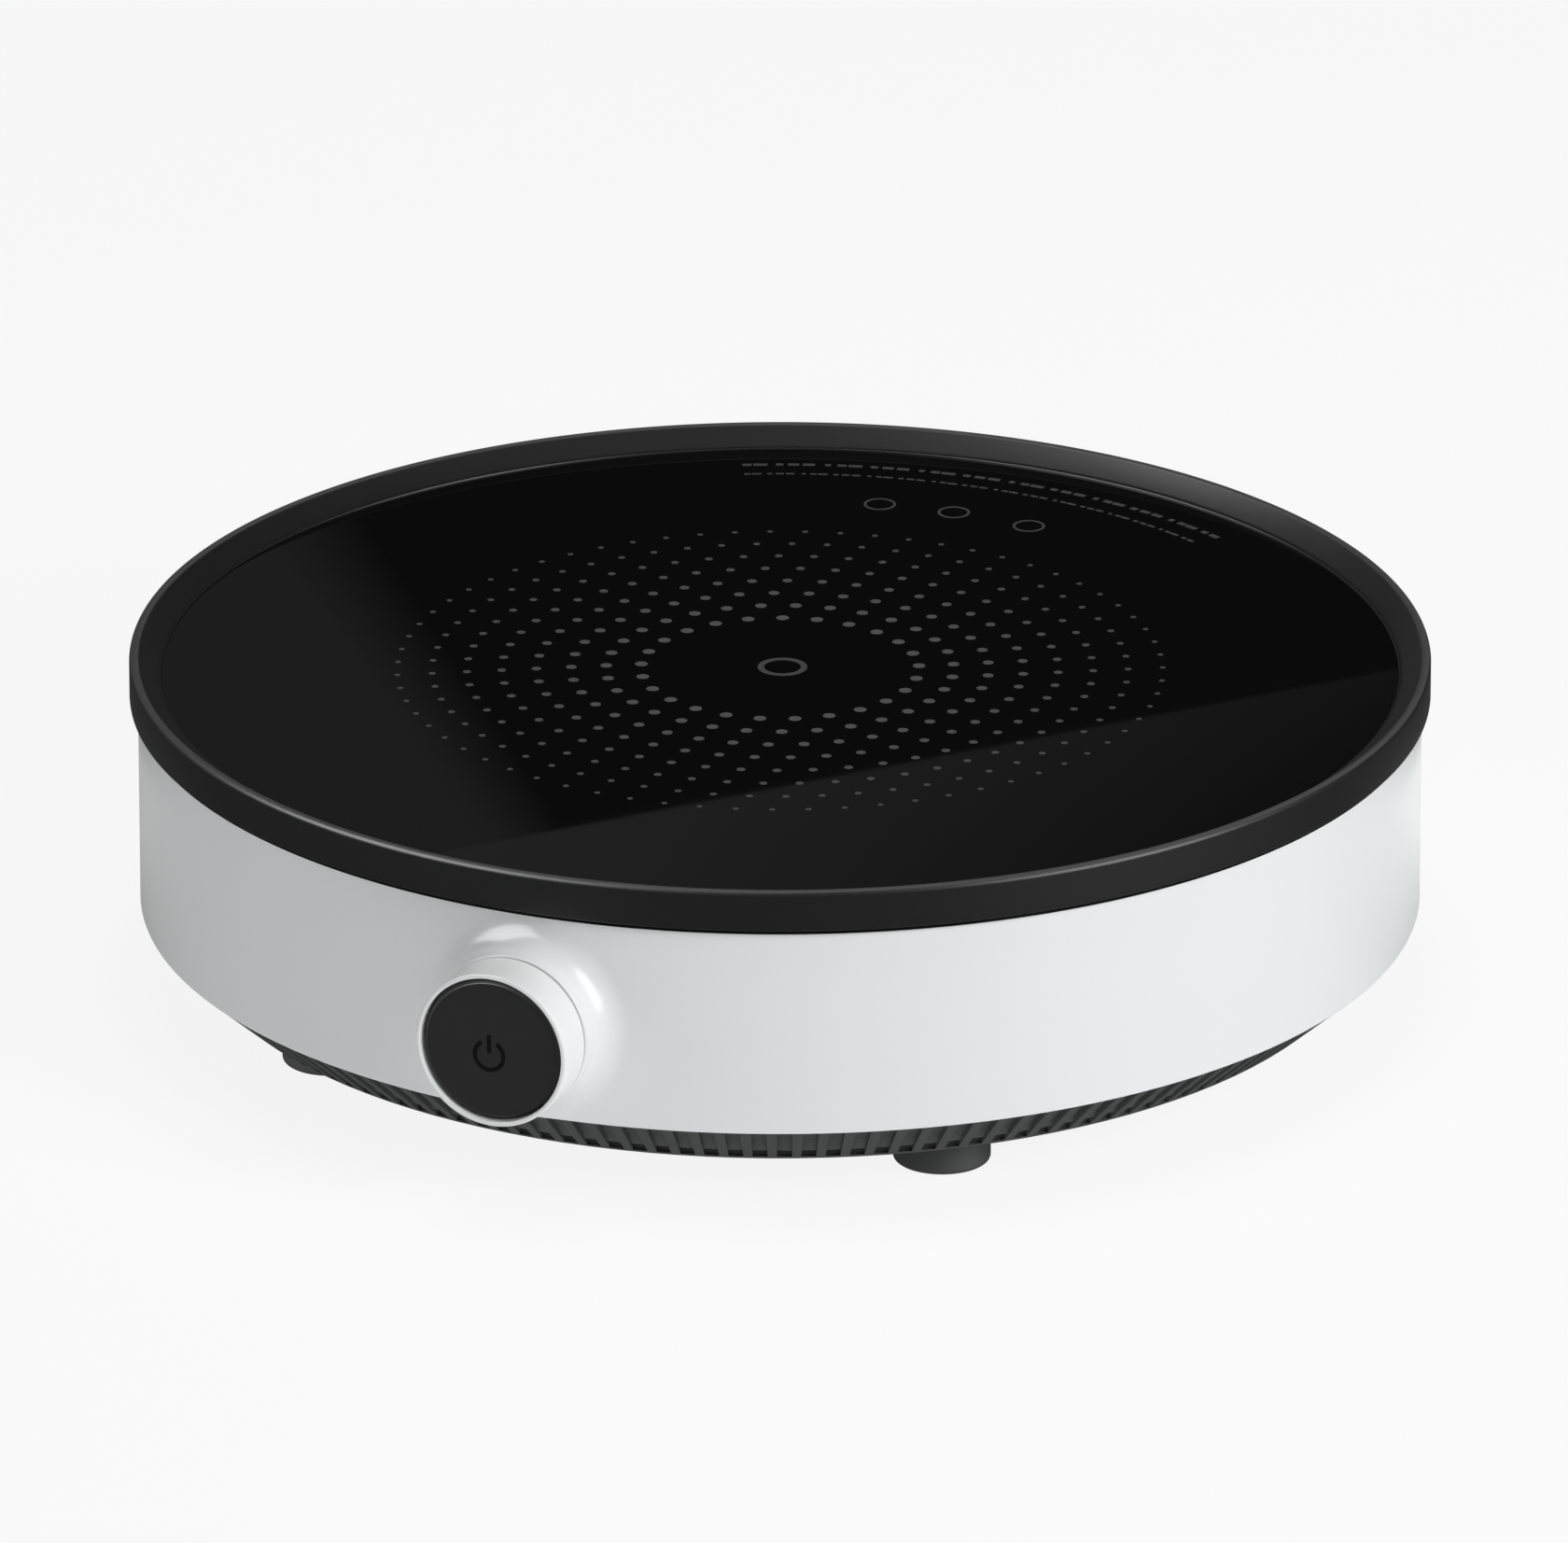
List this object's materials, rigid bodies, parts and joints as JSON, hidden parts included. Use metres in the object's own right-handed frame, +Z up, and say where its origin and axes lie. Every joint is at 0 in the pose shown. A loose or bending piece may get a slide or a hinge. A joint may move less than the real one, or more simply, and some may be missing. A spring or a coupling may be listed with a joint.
{
  "type": "induction cooktop",
  "caption": "Round portable single-zone induction cooktop: black glass in a raised black trim ring, white shell, slotted vent ring and a turning push-button control knob at the front.",
  "frame": {"origin": "the point where the body's vertical axis meets the counter top the feet stand on", "axes": "+Z up along the body's axis, -Y out through the front control knob, +X to the right of someone facing the knob"},
  "size_m": [0.264, 0.2816, 0.0716],
  "materials": {
    "white_shell": "satin white moulded ABS",
    "white_knob": "gloss white moulded ABS",
    "trim_black": "satin black heat-proof plastic",
    "black_glass": "polished black glass ceramic",
    "silicone_grey": "matt silicone",
    "base_black": "fine-grained grey-black moulded plastic",
    "foot_rubber": "matt grey-black rubber",
    "screw_steel": "zinc-plated steel",
    "gland_black": "matt black nylon",
    "fibre_sheet": "pale mineral fibre board",
    "copper_litz": "enamelled stranded copper",
    "lead_sleeve": "red silicone sleeve over stranded copper",
    "former_black": "glass-filled nylon",
    "ferrite": "sintered ferrite",
    "thermistor_bead": "coated bead",
    "board_green": "lacquered circuit board",
    "sink_aluminium": "extruded aluminium",
    "package_black": "moulded epoxy",
    "film_box": "cast film capacitor box",
    "film_yellow": "yellow film capacitor box",
    "can_blue": "sleeved electrolytic can",
    "choke_core": "coated iron-powder ring wound with copper",
    "transformer_core": "ferrite core with wound bobbin",
    "fuse_glass": "glass tube with plated caps",
    "terminal_green": "moulded nylon with plated clamps",
    "fan_black": "glass-filled plastic",
    "bearing_bronze": "sintered bronze",
    "stator_steel": "laminated silicon steel with copper windings",
    "magnet_grey": "bonded ferrite magnet",
    "shaft_steel": "ground steel",
    "barrel_white": "white acetal",
    "encoder_board": "printed ring with contact tracks",
    "encoder_wheel": "grey plastic wheel with plated notches",
    "cable_grey": "flat flexible cable",
    "clip_steel": "spring steel",
    "button_black": "satin black plastic",
    "carrier_black": "black plastic"
  },
  "bodies": {
    "cooktop_body": {"outer_shell": "white_shell", "trim_ring": "trim_black", "glass_plate": "black_glass", "glass_gasket": "silicone_grey", "base_pan": "base_black", "foot_front_right": "foot_rubber", "foot_front_left": "foot_rubber", "foot_rear_left": "foot_rubber", "foot_rear_right": "foot_rubber", "base_screws": "screw_steel", "cord_gland": "gland_black", "gland_nut": "gland_black", "insulation_sheet": "fibre_sheet", "coil_winding": "copper_litz", "coil_former": "former_black", "ferrite_bars": "ferrite", "coil_screws": "screw_steel", "coil_leads": "lead_sleeve", "sensor_holder": "silicone_grey", "thermistor": "thermistor_bead", "main_board": "board_green", "board_screws": "screw_steel", "heat_sink": "sink_aluminium", "igbt": "package_black", "bridge_rectifier": "package_black", "sink_screws": "screw_steel", "resonant_capacitor": "film_box", "filter_capacitor": "film_yellow", "emi_capacitor": "film_yellow", "bulk_capacitors": "can_blue", "line_choke": "choke_core", "aux_transformer": "transformer_core", "fuse": "fuse_glass", "terminal_block": "terminal_green", "fan_housing": "fan_black", "fan_bearing": "bearing_bronze", "fan_stator": "stator_steel", "fan_screws": "screw_steel", "knob_barrel": "barrel_white", "control_board": "board_green", "barrel_screws": "screw_steel", "power_switch": "package_black", "encoder_base": "encoder_board", "control_cable": "cable_grey", "knob_clip": "clip_steel", "button_spring": "clip_steel"},
    "knob": {"knob_ring": "white_knob", "encoder_rotor": "encoder_wheel"},
    "power_button": {"button_cover": "button_black", "button_carrier": "carrier_black", "button_stem": "carrier_black", "switch_plunger": "package_black"},
    "fan_rotor": {"fan_impeller": "fan_black", "fan_magnet": "magnet_grey", "fan_shaft": "shaft_steel"}
  },
  "joints": [
    {"name": "knob_turn", "type": "hinge", "parent": "cooktop_body", "child": "knob", "pos_m": [0, -0.1435, 0.0399], "axis": [0, -1, 0], "continuous": true},
    {"name": "power_press", "type": "slide", "parent": "cooktop_body", "child": "power_button", "axis": [0, 1, 0], "range_m": [0, 0.0008], "stiffness_N_per_m": 1500, "springref_m": -0.0005, "deforming": ["button_spring"]},
    {"name": "fan_spin", "type": "hinge", "parent": "cooktop_body", "child": "fan_rotor", "pos_m": [-0.05, 0.03, 0.025], "axis": [0, 0, 1], "continuous": true}
  ]
}
